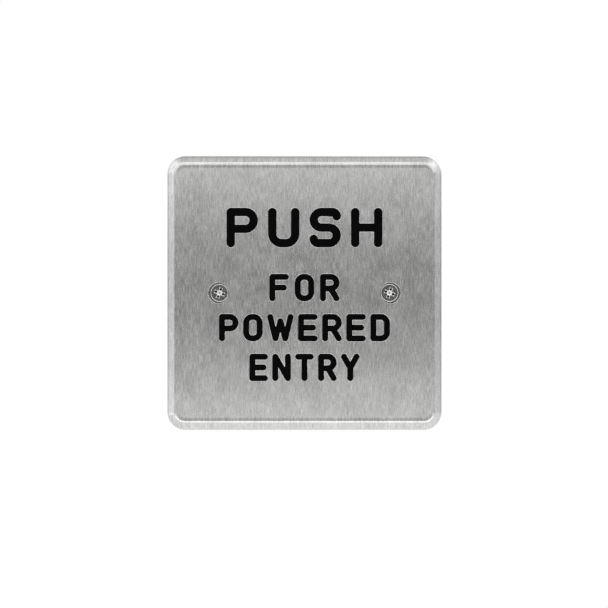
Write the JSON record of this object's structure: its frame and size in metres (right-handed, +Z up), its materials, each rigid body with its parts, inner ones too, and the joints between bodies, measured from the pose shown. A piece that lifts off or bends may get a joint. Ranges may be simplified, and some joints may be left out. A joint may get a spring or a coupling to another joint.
{
  "type": "door push plate switch",
  "caption": "Square brushed steel push plate switch on a wall: the whole face presses in on springs and works a snap-action switch that opens a powered door.",
  "frame": {"origin": "centre of the wall surface that the foam seal rests on, behind the middle of the face plate", "axes": "+X to the right and +Z up seen from the front; +Y into the wall, the direction the plate is pressed"},
  "size_m": [0.1142, 0.0319, 0.1142],
  "materials": {
    "brushed_face": "vertical brushed grain",
    "legend_paint": "black paint fill",
    "face_screw": "turned, satin",
    "zinc_sheet": "zinc plated",
    "standoff_steel": "turned",
    "weld_stud": "as welded",
    "nylon": "natural nylon",
    "foam": "closed-cell foam",
    "bumper_rubber": "moulded",
    "spring_wire": "drawn wire",
    "spring_steel": "rolled strip",
    "case_plastic": "moulded phenolic",
    "cover_plastic": "moulded phenolic",
    "plunger_plastic": "moulded acetal",
    "contact_copper": "rolled strip",
    "terminal_brass": "tinned brass",
    "rivet_aluminium": "pulled rivet",
    "zinc_screw": "zinc plated"
  },
  "bodies": {
    "base": {"back_plate": "zinc_sheet", "bracket_rivets": "rivet_aluminium", "bumper_lower_left": "bumper_rubber", "bumper_lower_right": "bumper_rubber", "bumper_upper_left": "bumper_rubber", "bumper_upper_right": "bumper_rubber", "face_screw_left": "face_screw", "face_screw_right": "face_screw", "lever_pin": "spring_steel", "return_spring_lower_left": "spring_wire", "return_spring_lower_right": "spring_wire", "return_spring_upper_left": "spring_wire", "return_spring_upper_right": "spring_wire", "spring_posts": "zinc_sheet", "standoff_left": "standoff_steel", "standoff_right": "standoff_steel", "switch_bracket": "zinc_sheet", "switch_case": "case_plastic", "switch_cover": "cover_plastic", "switch_nuts": "zinc_screw", "switch_screws": "zinc_screw", "terminal_common": "terminal_brass", "terminal_normally_closed": "terminal_brass", "terminal_normally_open": "terminal_brass", "wall_seal": "foam"},
    "bushes": {"guide_bush_left": "nylon", "guide_bush_right": "nylon"},
    "face": {"face_plate": "brushed_face", "legend_line_1": "legend_paint", "legend_line_2": "legend_paint", "legend_line_3": "legend_paint", "legend_line_4": "legend_paint", "spring_studs": "weld_stud", "striker_cap": "nylon", "striker_stud": "weld_stud"},
    "lever": {"switch_lever": "spring_steel"},
    "plunger": {"switch_plunger": "plunger_plastic"},
    "blade": {"contact_blade": "contact_copper"}
  },
  "joints": [
    {"name": "face_press", "type": "slide", "parent": "base", "child": "bushes", "axis": [0, 1, 0], "range_m": [0, 0.0025], "stiffness_N_per_m": 3000, "springref_m": -0.002, "deforming": ["return_spring_lower_left", "return_spring_lower_right", "return_spring_upper_left", "return_spring_upper_right"]},
    {"name": "face_rock", "type": "hinge", "parent": "bushes", "child": "face", "pos_m": [0, -0.01415, 0], "axis": [1, 0, 0], "range_deg": [-1, 1], "stiffness_Nm_per_rad": 4.3, "deforming": ["return_spring_lower_left", "return_spring_lower_right", "return_spring_upper_left", "return_spring_upper_right"]},
    {"name": "lever_turn", "type": "hinge", "parent": "base", "child": "lever", "pos_m": [-0.012, -0.009, 0], "axis": [0, 0, 1], "range_deg": [0, 8.47]},
    {"name": "plunger_slide", "type": "slide", "parent": "base", "child": "plunger", "axis": [0, 1, 0], "range_m": [0, 0.00111]},
    {"name": "blade_turn", "type": "hinge", "parent": "base", "child": "blade", "pos_m": [-0.0098, -0.0024, 0], "axis": [0, 0, 1], "range_deg": [0, 3.05]}
  ],
  "couplings": [
    {"joint": "lever_turn", "follows": "face_press", "rad_per_m": 58.783},
    {"joint": "plunger_slide", "follows": "face_press", "ratio": 0.44},
    {"joint": "blade_turn", "follows": "face_press", "rad_per_m": 20.944}
  ]
}
